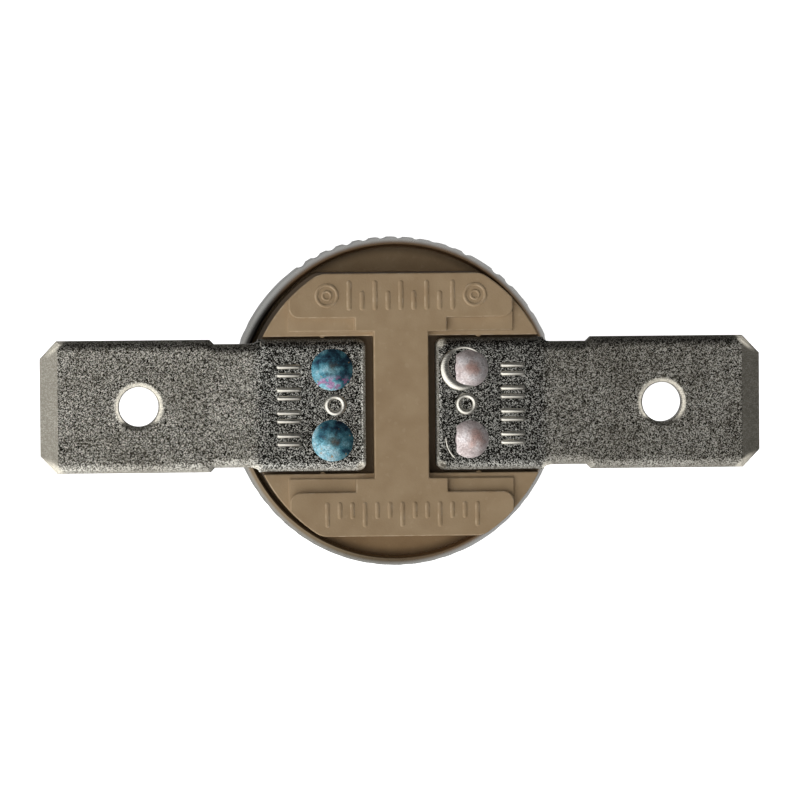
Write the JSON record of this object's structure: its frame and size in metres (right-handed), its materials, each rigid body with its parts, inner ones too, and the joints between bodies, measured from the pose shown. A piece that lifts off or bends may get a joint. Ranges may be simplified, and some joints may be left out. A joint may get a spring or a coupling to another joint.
{
  "type": "bimetal thermostat",
  "caption": "Round snap-disc thermostat: a knurled aluminium cup crimped round a moulded base, with flat blade terminals pointing out to either side.",
  "frame": {"origin": "middle of the flat sensing face on the underside of the cup", "axes": "+Z away from the sensing face, towards the terminals; X along the two blades, with the blued rivets on the -X side; Y across the blades, along the gap between them"},
  "size_m": [0.0346, 0.016, 0.0096],
  "materials": {
    "cup_aluminium": "matte drawn",
    "base_phenolic": "moulded, slightly mottled",
    "terminal_nickel": "grainy matte plating",
    "arm_rivet_blued": "heat-tinted blue",
    "contact_rivet_copper": "heat-tinted pale copper",
    "disc_bimetal": "rolled strip",
    "guide_phenolic": "moulded",
    "pin_ceramic": "unglazed steatite",
    "arm_copper": "spring strip",
    "plate_brass": "stamped",
    "contact_silver": "silver alloy"
  },
  "bodies": {
    "housing": {"cup": "cup_aluminium", "base": "base_phenolic", "left_terminal": "terminal_nickel", "right_terminal": "terminal_nickel", "arm_rivets": "arm_rivet_blued", "contact_rivets": "contact_rivet_copper", "bimetal_disc": "disc_bimetal", "pin_guide": "guide_phenolic", "arm_clamp": "plate_brass", "contact_carrier": "plate_brass", "fixed_contact": "contact_silver"},
    "pin": {"transfer_pin": "pin_ceramic"},
    "arm": {"contact_arm": "arm_copper", "moving_contact": "contact_silver"}
  },
  "joints": [
    {"name": "pin_slide", "type": "slide", "parent": "housing", "child": "pin", "axis": [0, 0, 1], "range_m": [0, 0.0003]},
    {"name": "arm_flex", "type": "hinge", "parent": "housing", "child": "arm", "pos_m": [-0.0018, 0, 0.00613], "axis": [0, -1, 0], "range_deg": [0, 10], "stiffness_Nm_per_rad": 0.005, "springref_deg": -2.86, "deforming": ["contact_arm"]}
  ],
  "couplings": [
    {"joint": "arm_flex", "follows": "pin_slide", "rad_per_m": 555.56}
  ]
}
